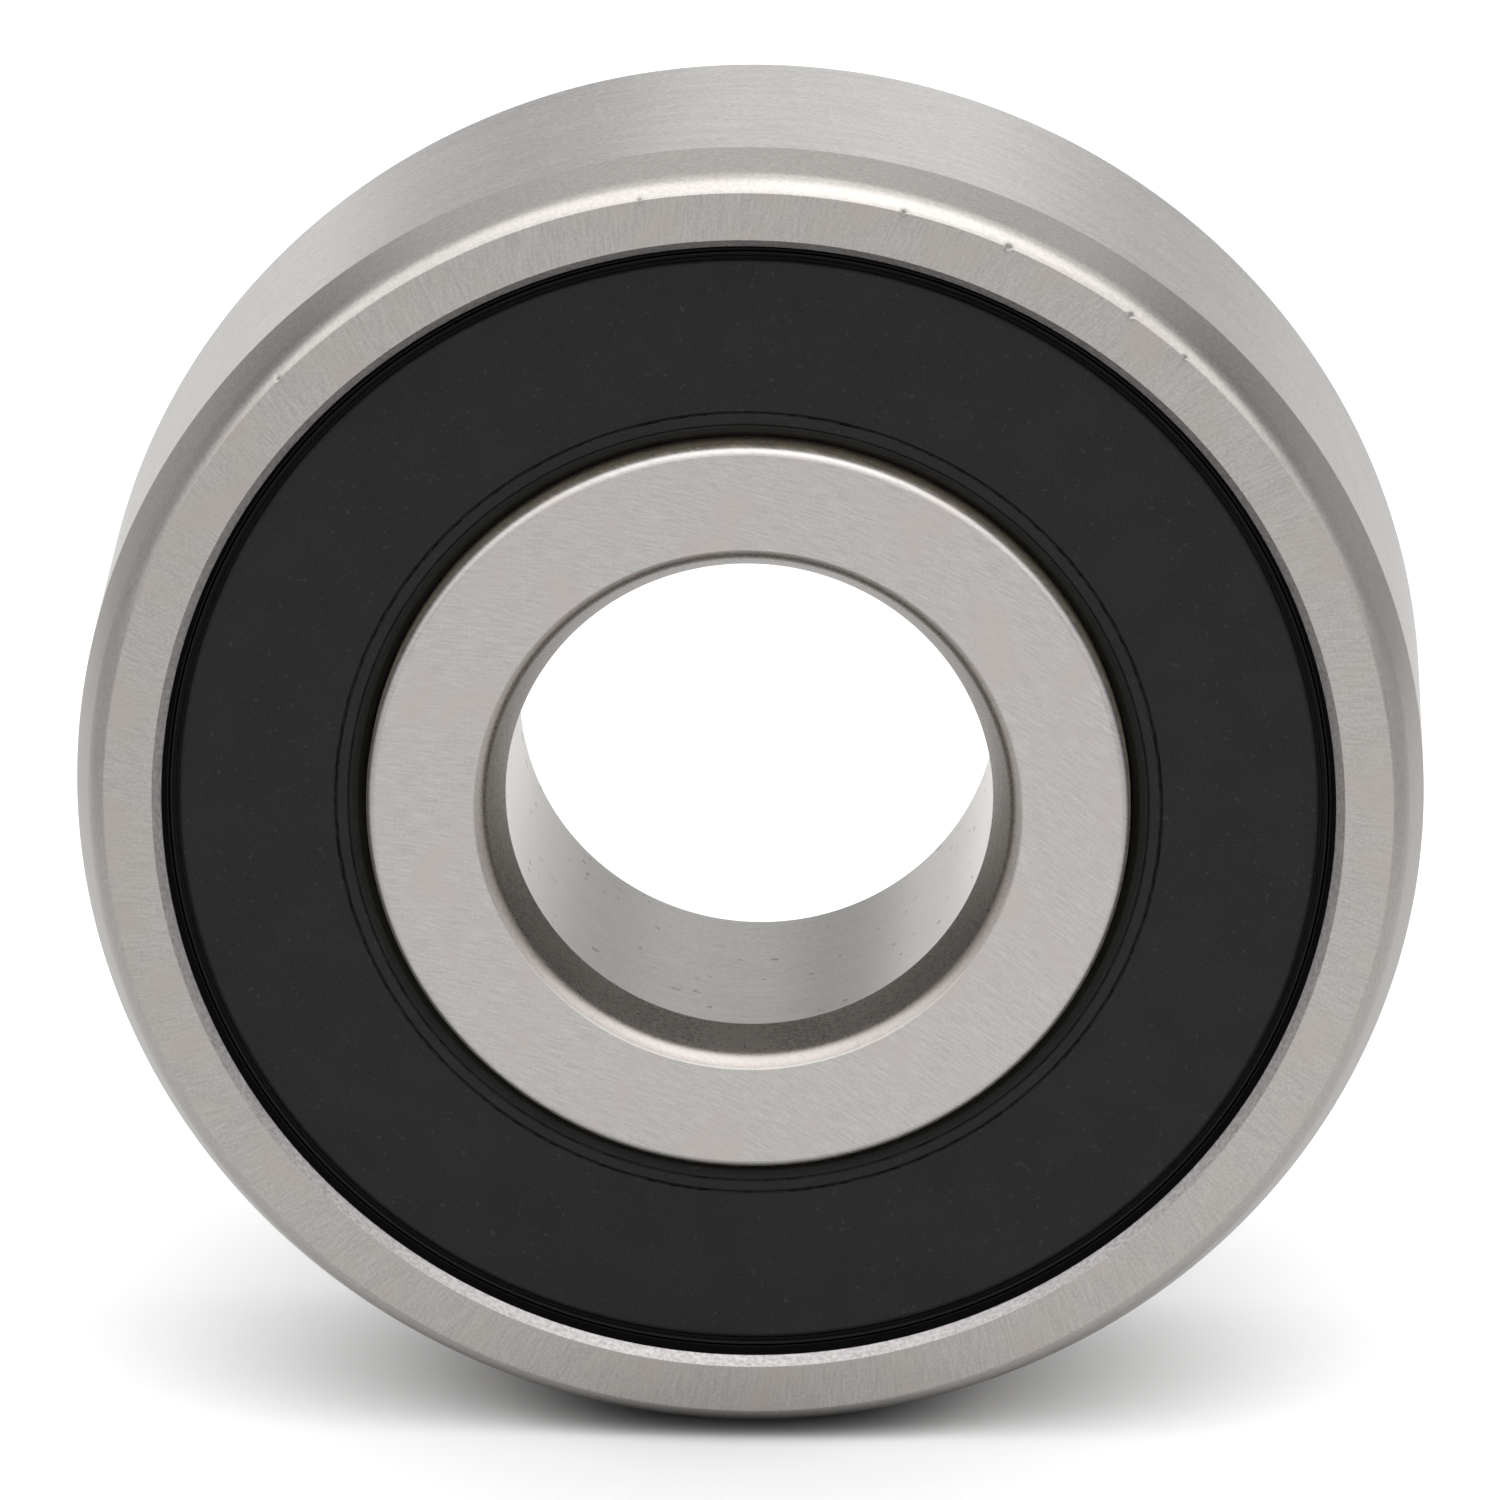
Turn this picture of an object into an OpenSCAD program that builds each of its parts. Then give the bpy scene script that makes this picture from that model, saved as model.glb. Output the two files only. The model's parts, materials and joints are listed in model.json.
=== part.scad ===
// Deep groove ball bearing, sealed on both sides, standing on its rim.
// The axis lies along Y, the front faces -Y and the origin is the centre of the bearing.

/* [Boundary sizes] */
// Diameter of the bore
bore_d = 17; // [16:0.5:18]
// Diameter over the outer ring
outer_d = 47; // [45.5:0.5:49]
// Width of both rings
width = 14; // [13:0.1:16]

/* [Ring corners] */
// Length of a corner along the bore or the outside
corner_len = 1.95; // [1.2:0.05:2.2]
// Depth of a corner across the face
corner_drop = 1.08; // [0.8:0.02:1.3]
// Part of an outside corner's length that is a cone
cone_part = 0.64; // [0.5:0.01:0.75]
// Part of that corner's depth that the cone takes
cone_depth_part = 0.444; // [0.3:0.002:0.45]
// Angle at which a corner of the bore leaves the bore
bore_lean = 15; // [5:1:18]
// Angle at which a small round leaves the surface beside it
round_lean = 8; // [3:1:14]
// Length of the small round at the outside of the inner ring
land_len = 0.36; // [0.2:0.02:0.6]
// Depth of that round across the face
land_drop = 0.3; // [0.14:0.02:0.4]

/* [Balls and raceways] */
// Diameter of a ball
ball_d = 8.731; // [8:0.001:9.2]
// Number of balls
ball_count = 7; // [5:1:7]
// Gap between a ball and each raceway
ball_play = 0.01; // [0.005:0.005:0.03]
// Radius of a raceway groove for each millimetre of ball diameter
conformity = 0.52; // [0.51:0.005:0.54]
// Height of the inner ring's shoulders over the bottom of its raceway
inner_shoulder_h = 1.67; // [1.4:0.01:1.9]
// Height of the outer ring's shoulders over the bottom of its raceway
outer_shoulder_h = 1.62; // [1.3:0.01:1.8]

/* [Seal seats] */
// Wall of the outer ring outside the seal groove
rim_wall = 2.6; // [2.3:0.05:2.9]
// Clearance between the cage and the shoulders that the seals rest on
cage_room = 0.26; // [0.1:0.01:0.5]
// Width of the bottom of the seal groove
seat_w = 0.4; // [0.3:0.02:0.6]
// Height of the lip that holds a seal in its groove
keeper_h = 0.48; // [0.3:0.02:0.6]
// Chamfer at the mouth of the seat
mouth = 0.33; // [0.2:0.01:0.42]

/* [Seals] */
// Thickness of a seal from its shoulder to its face
seal_t = 0.95; // [0.85:0.01:1.2]
// Gap beside the rubber bead in the groove
bead_room = 0.05; // [0.02:0.01:0.1]
// Chamfer at the foot of the bead
bead_chamfer = 0.15; // [0.05:0.01:0.25]
// Gap between the keeper lip and the neck of the rubber
neck_gap = 0.12; // [0.08:0.01:0.2]
// Width of the rim around the seal's face
rim_w = 0.25; // [0.2:0.01:0.4]
// Depth of the rim below the seal's face
rim_drop = 0.1; // [0.04:0.01:0.12]
// Round on the rim
rim_round = 0.1; // [0.06:0.01:0.12]
// Width of the groove inside the rim
rim_groove_w = 0.2; // [0.12:0.01:0.3]
// Depth of the groove below the seal's face
rim_groove_depth = 0.28; // [0.22:0.01:0.34]
// Gap between the lip's inner edge and the inner ring
lip_gap = 0.05; // [0.03:0.01:0.1]
// Distance of the lip's front edge outside its inner edge
lip_open = 0.27; // [0.15:0.01:0.32]
// Length of the tapered tip of the lip
lip_tip_len = 0.53; // [0.42:0.01:0.6]
// Length of the flat part of the lip
lip_flat_len = 0.42; // [0.3:0.01:0.55]
// Step from the flat part of the lip down to its tip
lip_step = 0.07; // [0.04:0.01:0.12]
// Depth of the lip's front edge below the seal's face
lip_fall = 0.2; // [0.14:0.01:0.22]
// Depth of the lip's inner edge below its front edge
lip_reach = 0.45; // [0.3:0.01:0.5]
// Thickness of the lip at its inner edge
lip_edge = 0.12; // [0.08:0.01:0.15]
// Width of the hinge groove behind the lip
hinge_w = 0.14; // [0.1:0.01:0.2]
// Depth of the hinge groove
hinge_depth = 0.2; // [0.1:0.01:0.25]

/* [Seal washers] */
// Thickness of the steel washer in a seal
washer_t = 0.4; // [0.3:0.01:0.45]
// Rubber around the outside of the washer
washer_rim = 0.8; // [0.7:0.05:1]
// Rubber between the edge of the lip and the washer
washer_hold = 1.35; // [1.25:0.05:1.6]
// Width of the dished part of the washer
dish_w = 0.9; // [0.5:0.05:1.4]
// Height of the dish
dish_h = 0.12; // [0.05:0.01:0.16]

/* [Cage] */
// Thickness of the cage's sheet
cage_t = 0.75; // [0.6:0.01:0.85]
// Width of the cage's ribbon
cage_w = 3.9; // [3.2:0.1:4.4]
// Gap between a ball and its pocket
pocket_gap = 0.12; // [0.08:0.01:0.2]
// Inside radius of the bends beside the pockets
bend_r = 0.3; // [0.2:0.02:0.5]
// Diameter of a rivet's shank
rivet_d = 1.4; // [1:0.1:1.6]
// Diameter of a rivet's heads
rivet_head_d = 2.4; // [2:0.1:2.5]
// Height of a rivet's heads
rivet_head_h = 0.6; // [0.4:0.05:0.9]

/* [Hidden] */
$fn = 96;
// Extra reach of every cutting shape
over = 1;
// Bite of the bends into the surfaces beside them
bend_bite = 0.03;
// Angle between an outside corner's cone and the round that ends it
cone_turn = 3;
// Overlap of that round with its cone
cone_bite = 0.03;
bore_r = bore_d / 2;
outer_r = outer_d / 2;
face_z = width / 2;
ball_r = ball_d / 2;
pitch_r = (bore_r + outer_r) / 2;
groove_r = conformity * ball_d;
inner_race_r = pitch_r - ball_r - ball_play;
outer_race_r = pitch_r + ball_r + ball_play;
inner_shoulder_r = inner_race_r + inner_shoulder_h;
outer_shoulder_r = outer_race_r - outer_shoulder_h;
pocket_r = ball_r + pocket_gap;
cup_r = pocket_r + cage_t;
seat_z = cup_r + cage_room;
seat_top_z = seat_z + seat_w;
seat_r = outer_r - rim_wall;
keeper_r = seat_r - keeper_h;
keeper_z = face_z - mouth;
seal_z = seat_z + seal_t;
bead_z = seat_top_z - bead_room;
neck_r = keeper_r - neck_gap;
neck_z = bead_z + (keeper_z - seat_top_z) / 2;
rim_r = neck_r - rim_w;
panel_r = rim_r - rim_groove_w;
lip_r = inner_shoulder_r + lip_gap;
lip_step_r = lip_r + lip_tip_len;
hinge_r = lip_step_r + lip_flat_len;
washer_out_r = seat_r - washer_rim;
washer_in_r = lip_r + washer_hold;
washer_top_z = seat_z + washer_t;
bend_z = cage_t + bend_r - bend_bite;
bend_x = sqrt(pow(cup_r + bend_r - bend_bite, 2) - pow(bend_z, 2));
rivet_r = rivet_d / 2;
rivet_head_r = rivet_head_d / 2;
rivet_dome_r = (pow(rivet_head_r, 2) + pow(rivet_head_h, 2)) / (2 * rivet_head_h);
steel = [0.72, 0.71, 0.69];
bright_steel = [0.82, 0.82, 0.83];
sheet_steel = [0.62, 0.62, 0.6];
rubber = [0.12, 0.12, 0.12];

// Stands the bearing up: its axis is drawn along Z and turned to lie along Y.
module upright() {
    rotate([-90, 0, 0]) children();
}

// A drawn thing turned once around the axis.
module turned() {
    upright() rotate_extrude() children();
}

// A section and its mirror image on the other side of the bearing.
module both_sides() {
    children();
    mirror([0, 1]) children();
}

// A place on the pitch circle, counted clockwise from the top.
module at_place(n) {
    rotate([0, 0, 360 * n / ball_count - 90]) translate([pitch_r, 0, 0]) children();
}

// Cutter for the round on an outside corner at the origin. Its arc runs from len below to drop inside.
module round_cutter(len, drop, lean) {
    half = atan2(drop, len) - lean;
    arc_r = norm([len, drop]) / (2 * sin(half));
    translate([-arc_r * cos(lean), -len - arc_r * sin(lean)]) {
        difference() {
            square(arc_r + over);
            circle(arc_r);
        }
    }
}

// Cutter for the outer ring's corner at the origin: a cone along the outside, then a round to the face.
module outside_corner_cutter() {
    cone_len = cone_part * corner_len;
    cone_drop = cone_depth_part * corner_drop;
    slope = cone_drop / cone_len;
    rest_len = corner_len - cone_len;
    rest_drop = corner_drop - cone_drop;
    polygon([
        [slope * over, -corner_len - over],
        [over, -corner_len - over],
        [over, over],
        [-slope * (corner_len + over), over]
    ]);
    intersection() {
        translate([-cone_drop, 0]) round_cutter(rest_len, rest_drop, atan(slope) + cone_turn);
        translate([-corner_drop - over, -rest_len - cone_bite]) square(corner_drop + 2 * over);
    }
}

// Section of one seal seat, cut from the outer ring behind a face.
module seat_cutter() {
    inside = outer_shoulder_r - over;
    polygon([
        [inside, seat_z],
        [seat_r, seat_z],
        [seat_r, seat_top_z],
        [keeper_r, keeper_z],
        [keeper_r + mouth + over, face_z + over],
        [inside, face_z + over]
    ]);
}

module outer_ring() {
    color(steel) turned() {
        difference() {
            translate([outer_shoulder_r, -face_z]) square([outer_r - outer_shoulder_r, width]);
            translate([outer_race_r - groove_r, 0]) circle(groove_r);
            both_sides() {
                translate([outer_r, face_z]) outside_corner_cutter();
                seat_cutter();
            }
        }
    }
}

module inner_ring() {
    color(steel) turned() {
        difference() {
            translate([bore_r, -face_z]) square([inner_shoulder_r - bore_r, width]);
            translate([inner_race_r + groove_r, 0]) circle(groove_r);
            both_sides() {
                translate([bore_r, face_z]) mirror([1, 0]) round_cutter(corner_len, corner_drop, bore_lean);
                translate([inner_shoulder_r, face_z]) round_cutter(land_len, land_drop, round_lean);
            }
        }
    }
}

// Section of a seal's rubber: bead, neck, rim, panel, hinge groove and lip around the washer.
module rubber_section() {
    rim_z = seal_z - rim_drop;
    front_edge_z = seal_z - lip_fall;
    inner_edge_z = front_edge_z - lip_reach;
    difference() {
        polygon([
            [washer_out_r, seat_z],
            [seat_r - bead_chamfer, seat_z],
            [seat_r, seat_z + bead_chamfer],
            [seat_r, bead_z],
            [neck_r, neck_z],
            [neck_r, rim_z],
            [rim_r, rim_z],
            [rim_r, seal_z - rim_groove_depth],
            [panel_r, seal_z - rim_groove_depth],
            [panel_r, seal_z],
            [hinge_r + hinge_w, seal_z],
            [hinge_r + hinge_w / 2, seal_z - hinge_depth],
            [hinge_r, seal_z],
            [lip_step_r, seal_z],
            [lip_step_r, seal_z - lip_step],
            [lip_r + lip_open, front_edge_z],
            [lip_r, inner_edge_z],
            [lip_r, inner_edge_z - lip_edge],
            [washer_in_r, seat_z + dish_h],
            [washer_in_r, washer_top_z + dish_h],
            [washer_in_r + dish_w, washer_top_z],
            [washer_out_r, washer_top_z]
        ]);
        translate([neck_r, rim_z]) round_cutter(rim_round, rim_round, round_lean);
        translate([rim_r, rim_z]) mirror([1, 0]) round_cutter(rim_round, rim_round, round_lean);
    }
}

// Section of the dished steel washer that stiffens a seal.
module washer_section() {
    polygon([
        [washer_in_r, seat_z + dish_h],
        [washer_in_r + dish_w, seat_z],
        [washer_out_r, seat_z],
        [washer_out_r, washer_top_z],
        [washer_in_r + dish_w, washer_top_z],
        [washer_in_r, washer_top_z + dish_h]
    ]);
}

module rear_seal_rubber() {
    color(rubber) turned() rubber_section();
}

module front_seal_rubber() {
    color(rubber) turned() mirror([0, 1]) rubber_section();
}

module rear_seal_washer() {
    color(sheet_steel) turned() washer_section();
}

module front_seal_washer() {
    color(sheet_steel) turned() mirror([0, 1]) washer_section();
}

// The ribbon that both cage halves are pressed from, up to a height.
module ribbon(height) {
    difference() {
        cylinder(r = pitch_r + cage_w / 2, h = height);
        translate([0, 0, -over]) cylinder(r = pitch_r - cage_w / 2, h = height + 2 * over);
    }
}

// Outside of a pocket: a half ball that flows into the flat ribbon through a bend.
module pocket_outside() {
    rotate_extrude() {
        intersection() {
            circle(cup_r);
            square(cup_r + over);
        }
        difference() {
            polygon([[0, 0], [bend_x, 0], [bend_x, bend_z]]);
            translate([bend_x, bend_z]) circle(bend_r);
        }
    }
}

// Inside of a pocket: the room for the ball and the rounded edge at its mouth.
module pocket_inside() {
    rotate_extrude() {
        intersection() {
            circle(pocket_r);
            translate([0, -pocket_r - over]) square(2 * (pocket_r + over));
        }
        difference() {
            polygon([[0, 0], [bend_x, bend_z], [bend_x, -over], [0, -over]]);
            translate([bend_x, bend_z]) circle(bend_r + cage_t);
        }
    }
}

// The rear cage half. The flat parts between the pockets carry the rivet holes.
module cage_half() {
    difference() {
        intersection() {
            union() {
                ribbon(cage_t);
                for (i = [1 : ball_count]) at_place(i - 1) pocket_outside();
            }
            ribbon(cup_r + over);
        }
        for (i = [1 : ball_count]) {
            at_place(i - 1) pocket_inside();
            at_place(i - 0.5) translate([0, 0, -over]) cylinder(r = rivet_r, h = cage_t + 2 * over);
        }
    }
}

module rear_cage_half() {
    color(sheet_steel) upright() cage_half();
}

module front_cage_half() {
    color(sheet_steel) upright() mirror([0, 0, 1]) cage_half();
}

module ball(i) {
    color(bright_steel) upright() at_place(i - 1) sphere(r = ball_r);
}

// One domed head of a rivet, drawn upwards from the cage's flat.
module rivet_head() {
    intersection() {
        translate([0, rivet_head_h - rivet_dome_r]) circle(rivet_dome_r);
        square(rivet_head_r + over);
    }
}

// A rivet lies between two balls and has a domed head on each cage half.
module rivet(i) {
    color(bright_steel) upright() at_place(i - 0.5) rotate_extrude() {
        translate([0, -cage_t]) square([rivet_r, 2 * cage_t]);
        both_sides() translate([0, cage_t]) rivet_head();
    }
}

outer_ring();
inner_ring();
front_seal_rubber();
front_seal_washer();
rear_seal_rubber();
rear_seal_washer();
front_cage_half();
rear_cage_half();
for (i = [1 : ball_count]) {
    ball(i);
    rivet(i);
}
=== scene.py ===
import json
import math

import bpy
import numpy as np
from mathutils import Matrix, Vector


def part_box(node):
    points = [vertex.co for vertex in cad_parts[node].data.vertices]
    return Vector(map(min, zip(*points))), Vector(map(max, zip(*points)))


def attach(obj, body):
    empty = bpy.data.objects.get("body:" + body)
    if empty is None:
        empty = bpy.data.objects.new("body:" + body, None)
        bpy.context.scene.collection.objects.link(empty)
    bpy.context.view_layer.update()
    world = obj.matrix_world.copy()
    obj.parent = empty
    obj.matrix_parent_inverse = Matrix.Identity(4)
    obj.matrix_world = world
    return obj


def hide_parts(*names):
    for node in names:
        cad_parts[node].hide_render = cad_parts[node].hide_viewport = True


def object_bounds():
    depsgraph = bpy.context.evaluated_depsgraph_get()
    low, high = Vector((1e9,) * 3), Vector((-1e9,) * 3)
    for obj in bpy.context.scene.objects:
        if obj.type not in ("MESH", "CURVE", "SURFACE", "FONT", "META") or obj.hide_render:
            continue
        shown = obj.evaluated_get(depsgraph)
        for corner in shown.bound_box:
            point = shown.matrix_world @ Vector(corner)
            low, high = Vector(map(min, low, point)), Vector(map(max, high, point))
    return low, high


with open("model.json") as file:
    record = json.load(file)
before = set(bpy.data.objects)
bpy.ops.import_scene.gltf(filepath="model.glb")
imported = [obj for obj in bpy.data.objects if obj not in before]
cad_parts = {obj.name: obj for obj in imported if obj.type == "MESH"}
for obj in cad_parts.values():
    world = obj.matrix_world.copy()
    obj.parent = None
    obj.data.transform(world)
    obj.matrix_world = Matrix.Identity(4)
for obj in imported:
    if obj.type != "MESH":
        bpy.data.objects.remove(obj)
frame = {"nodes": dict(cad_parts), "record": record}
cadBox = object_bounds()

mm = 0.001
mounts = {mount["name"]: mount["dims"] for mount in frame["record"]["mounts"] if mount["dims"]}


# ring sizes in millimetres: what the frame gives is read from it, the rest is the bearing's own
ring = {
    "outerR": mounts["housing_seat"]["r_mm"],
    "boreR": mounts["shaft_bore"]["r_mm"],
    "halfWidth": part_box("outer_ring")[1].y / mm,
    "innerShoulderR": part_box("inner_ring")[1].x / mm,
    "outerShoulderR": 18.7555,
    "innerRaceR": 11.6245,
    "outerRaceR": 20.3755,
    "grooveR": 4.54,
    "cornerDrop": 1.08,
    "outsideCone": (1.248, 0.4795),   # length and drop of the cone that starts a corner
    "boreCone": (1.25, 0.595),
    "coneTurn": 3,           # degrees between that cone and the round that ends it
    "boreCornerLen": 1.75,
    "landLen": 0.36,
    "landDrop": 0.3,
    "landLean": 8,
    "seatWidth": 0.4,
    "keeperRise": 0.48,
    "mouth": 0.33,
    "softOutside": 0.06,     # edge softness where the outside meets its corner
    "softFace": 0.015,
    "softLand": 0.03,
    "softHidden": 0.03,
    "outerSteps": 420,       # steps round each ring
    "innerSteps": 600,
}
ring["cornerLen"] = ring["halfWidth"] - mounts["shaft_bore"]["length_mm"] / 2

# small knocks on the edge of a face: degrees clockwise from the top, depth and width in millimetres
knocks = {
    "front": [(13.8, 0.07, 0.08), (23.5, 0.09, 0.11), (35.9, 0.08, 0.10), (42.0, 0.06, 0.08),
              (-9.5, 0.05, 0.07), (-46.0, 0.05, 0.08), (131.0, 0.06, 0.09), (-118.0, 0.05, 0.08)],
    "rear": [(-31.0, 0.07, 0.09), (64.0, 0.08, 0.09), (158.0, 0.06, 0.08)],
    "reach": 0.08,           # how far a knock spreads over the section
    "inward": (-0.6, -0.8),  # way that a rear one is pressed in, as r and y
    "guards": (0.25, 0.12, 0.04),   # points beside an edge that keep the shading of a knock close to it
}


def softCorner(before, corner, after, radius, guards, steps=4):
    # corner turned into an arc: it starts radius / tan(half angle) from the corner and its centre lies
    # radius / sin(half angle) along the bisector; guard points beside its ends keep the flats flat and
    # take at most 0.45 of them
    if radius == 0:
        return corner[None]
    back, ahead = before - corner, after - corner
    backLen, aheadLen = np.linalg.norm(back), np.linalg.norm(ahead)
    back, ahead = back / backLen, ahead / aheadLen
    half = np.arccos(np.clip(back @ ahead, -1, 1)) / 2
    cut = radius / np.tan(half)
    bisector = (back + ahead) / np.linalg.norm(back + ahead)
    centre = corner + bisector * radius / np.sin(half)
    start, end = corner + back * cut - centre, corner + ahead * cut - centre
    sweep = np.pi - 2 * half
    t = np.linspace(0, 1, steps + 1)[:, None]
    arc = centre + (np.sin((1 - t) * sweep) * start + np.sin(t * sweep) * end) / np.sin(sweep)
    near = np.array(guards)[:, None]
    share = near / near.max() * 0.45
    first = corner + back * (cut + np.minimum(near, (backLen - cut) * share))
    last = corner + ahead * (cut + np.minimum(near, (aheadLen - cut) * share))[::-1]
    return np.concatenate([first, arc, last])


def softSection(outline, guards=(0.09, 0.03)):
    # closed outline of rows r, y, edge radius turned into a polyline with soft edges; guards are the
    # distances of its guard points from each edge
    points = outline[:, :2]
    corners = zip(np.roll(points, 1, 0), points, np.roll(points, -1, 0), outline[:, 2])
    return np.concatenate([softCorner(*corner, guards) for corner in corners])


def cornerArc(length, drop, lean, steps=8):
    # arc over an outside corner, as offsets from it: it leaves the upright side at the angle lean,
    # length below the corner, and ends drop inside it
    lean = np.radians(lean)
    half = np.arctan2(drop, length) - lean
    radius = np.hypot(length, drop) / (2 * np.sin(half))
    angle = lean + np.linspace(0, 2 * half, steps + 1)[:, None]
    centre = np.array([-radius * np.cos(lean), -length - radius * np.sin(lean)])
    return centre + radius * np.hstack([np.cos(angle), np.sin(angle)])


def ringCorner(length, coneLen, coneDrop):
    # corner of a ring as offsets from the sharp corner: a cone up from the ground surface, then a round
    # that leaves it at a slightly larger angle and ends on the face
    lean = math.degrees(math.atan2(coneDrop, coneLen)) + ring["coneTurn"]
    rest = cornerArc(length - coneLen, ring["cornerDrop"] - coneDrop, lean)
    return np.concatenate([[[0, -length]], rest - [coneDrop, 0]])


def raceArc(centreR, radius, edgeR, steps=9):
    # half of a raceway groove, from its shoulder edge at edgeR to its bottom at y = 0
    sign = 1 if edgeR > centreR else -1
    edge = np.arccos(sign * (edgeR - centreR) / radius)
    angle = np.linspace(edge, 0, steps + 1)[:, None]
    return np.hstack([centreR + sign * radius * np.cos(angle), radius * np.sin(angle)])


def rows(points, first, last):
    # points with an edge radius each: the first and last radius are given, those between are sharp
    soft = np.zeros(len(points))
    soft[0], soft[-1] = first, last
    return np.column_stack([points, soft])


def mirrored(half):
    # an outline from y = 0 to y = 0 and its mirror image on the front side, as one closed outline
    front = half[-2:0:-1] * [1, -1, 1]
    return np.concatenate([half, front])


def turnedGrid(section, angles, dents=()):
    # surface of revolution about Y: x = r sin(a), z = r cos(a), with dents pressed into edges first.
    # a dent is a bell in the angle times a bell in the distance from its edge, along its inward line
    r = np.repeat(section[None, :, 0], len(angles), 0)
    y = np.repeat(section[None, :, 1], len(angles), 0)
    for edge, inward, places, reach in dents:
        near = np.exp(-np.sum((section - edge) ** 2, axis=1) / reach ** 2)
        at, depth, width = np.array(places).T[:, :, None]
        turn = (np.degrees(angles)[None] - at + 180) % 360 - 180
        along = np.radians(turn) * edge[0]
        push = np.sum(depth * np.exp(-(along / width) ** 2), axis=0)[:, None] * near
        r = r + push * inward[0]
        y = y + push * inward[1]
    a = angles[:, None]
    return np.stack([r * np.sin(a), y + 0 * a, r * np.cos(a)], axis=-1) * mm


def gridMesh(name, grid):
    # closed both ways: quads join each point to the next angle and the next section point
    turns, around = grid.shape[:2]
    i = np.arange(turns)[:, None]
    k = np.arange(around)[None, :]
    nextI, nextK = (i + 1) % turns, (k + 1) % around
    corners = [i * around + k, nextI * around + k, nextI * around + nextK, i * around + nextK]
    quads = np.stack(corners, axis=-1)
    mesh = bpy.data.meshes.new(name)
    mesh.vertices.add(turns * around)
    mesh.vertices.foreach_set("co", grid.astype(np.float32).ravel())
    mesh.loops.add(quads.size)
    mesh.loops.foreach_set("vertex_index", quads.astype(np.int32).ravel())
    mesh.polygons.add(turns * around)
    mesh.polygons.foreach_set("loop_start", np.arange(0, quads.size, 4, dtype=np.int32))
    mesh.polygons.foreach_set("use_smooth", np.ones(turns * around, dtype=bool))
    mesh.update(calc_edges=True)
    mesh.validate()
    print(name, grid.shape, len(mesh.polygons) * 2, "triangles")
    piece = bpy.data.objects.new(name, mesh)
    bpy.context.scene.collection.objects.link(piece)
    return piece


def evenAngles(count, places=(), spread=1.2, extra=13):
    # even steps round the ring, with more steps close to the knocks
    even = np.arange(count) * 360 / count
    close = [place[0] + np.linspace(-spread, spread, extra) for place in places]
    return np.radians(np.unique(np.round(np.concatenate([even, *close]) % 360, 4)))


def outerRingPiece():
    # half a section from the outside over the corner, the face, the seal seat and the shoulder to the
    # raceway, mirrored and turned about Y, with knocks where the corner meets the face
    half = ring["halfWidth"]
    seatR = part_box("rear_seal_rubber")[1].x / mm
    keeperR = seatR - ring["keeperRise"]
    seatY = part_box("rear_seal_rubber")[0].y / mm
    corner = ringCorner(ring["cornerLen"], *ring["outsideCone"]) + [ring["outerR"], half]
    race = raceArc(ring["outerRaceR"] - ring["grooveR"], ring["grooveR"], ring["outerShoulderR"])
    outline = mirrored(np.concatenate([
        [[ring["outerR"], 0, 0]],
        rows(corner, ring["softOutside"], ring["softFace"]),
        [[keeperR + ring["mouth"], half, ring["softFace"]],
         [keeperR, half - ring["mouth"], ring["softHidden"]],
         [seatR, seatY + ring["seatWidth"], 0],
         [seatR, seatY, 0],
         [ring["outerShoulderR"], seatY, ring["softHidden"]]],
        rows(race, ring["softHidden"], 0),
    ]))
    edge = np.array([ring["outerR"] - ring["cornerDrop"], half])
    inward = np.array(knocks["inward"])
    dents = [(edge, inward, knocks["rear"], knocks["reach"]),
             (edge * [1, -1], inward * [1, -1], knocks["front"], knocks["reach"])]
    angles = evenAngles(ring["outerSteps"], knocks["front"] + knocks["rear"])
    piece = gridMesh("outerRing", turnedGrid(softSection(outline, knocks["guards"]), angles, dents))
    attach(piece, "outer_race")
    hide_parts("outer_ring")
    return piece


def innerRingPiece():
    # half a section from the raceway over the shoulder, the land, the face and the corner to the bore,
    # mirrored and turned about Y
    half = ring["halfWidth"]
    race = raceArc(ring["innerRaceR"] + ring["grooveR"], ring["grooveR"], ring["innerShoulderR"])[::-1]
    land = cornerArc(ring["landLen"], ring["landDrop"], ring["landLean"], steps=6)
    land = land + [ring["innerShoulderR"], half]
    bore = ringCorner(ring["boreCornerLen"], *ring["boreCone"])[::-1] * [-1, 1] + [ring["boreR"], half]
    outline = mirrored(np.concatenate([
        rows(race, 0, ring["softHidden"]),
        rows(land, ring["softLand"], ring["softLand"]),
        rows(bore, ring["softFace"], ring["softOutside"]),
        [[ring["boreR"], 0, 0]],
    ]))
    piece = gridMesh("innerRing", turnedGrid(softSection(outline), evenAngles(ring["innerSteps"])))
    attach(piece, "inner_race")
    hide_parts("inner_ring")
    return piece


# moulded rubber of a seal, in millimetres; heights are measured from the shoulder it rests on
seal = {
    "beadHeight": 0.35,
    "beadChamfer": 0.15,
    "neckGap": 0.12,
    "rimWidth": 0.25,
    "rimDrop": 0.1,
    "rimSoft": 0.085,
    "rimGrooveWidth": 0.2,
    "rimGrooveDepth": 0.28,
    "lipGap": 0.05,
    "lipOpen": 0.27,
    "tipLen": 0.53,
    "flatLen": 0.42,
    "step": 0.03,
    "stepWidth": 0.1,        # fine groove at the step
    "stepDepth": 0.1,
    "fall": 0.2,
    "reach": 0.45,
    "edge": 0.12,
    "hingeWidth": 0.14,
    "hingeDepth": 0.12,
    "washerHold": 1.35,
    "washerT": 0.4,
    "dish": 0.12,
    "dishWidth": 0.9,
    "panelSoft": 0.16,
    "soft": 0.035,
    "softFine": 0.02,
    "steps": 540,            # round the seal
}


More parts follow.
